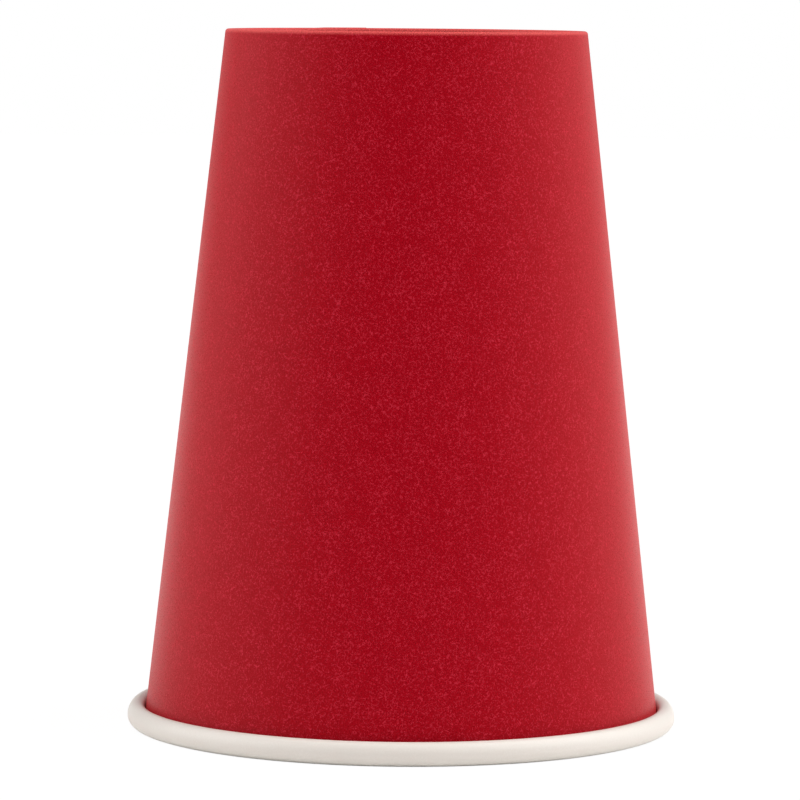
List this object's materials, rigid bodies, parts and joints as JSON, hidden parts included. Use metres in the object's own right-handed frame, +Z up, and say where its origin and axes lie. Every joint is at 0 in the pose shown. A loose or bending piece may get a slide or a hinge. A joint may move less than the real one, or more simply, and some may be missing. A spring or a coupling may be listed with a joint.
{
  "type": "paper cup",
  "caption": "Tapered disposable paper cup for drinks, standing mouth down, with a rolled white rim, a red printed side wall, a lap seam and a recessed base sealed by the folded wall.",
  "frame": {"origin": "on the cup's axis, in the plane that the rolled rim stands on", "axes": "+Z up along the axis, from the open mouth below to the closed base above; the cup stands mouth down, and its lap seam is at the back, 20.6 degrees from +Y towards -X"},
  "size_m": [0.09, 0.09, 0.114],
  "materials": {
    "printed_board": "satin",
    "plain_board": "satin"
  },
  "bodies": {
    "root": {"side_wall": "printed_board", "bottom_disc": "plain_board"}
  },
  "joints": []
}
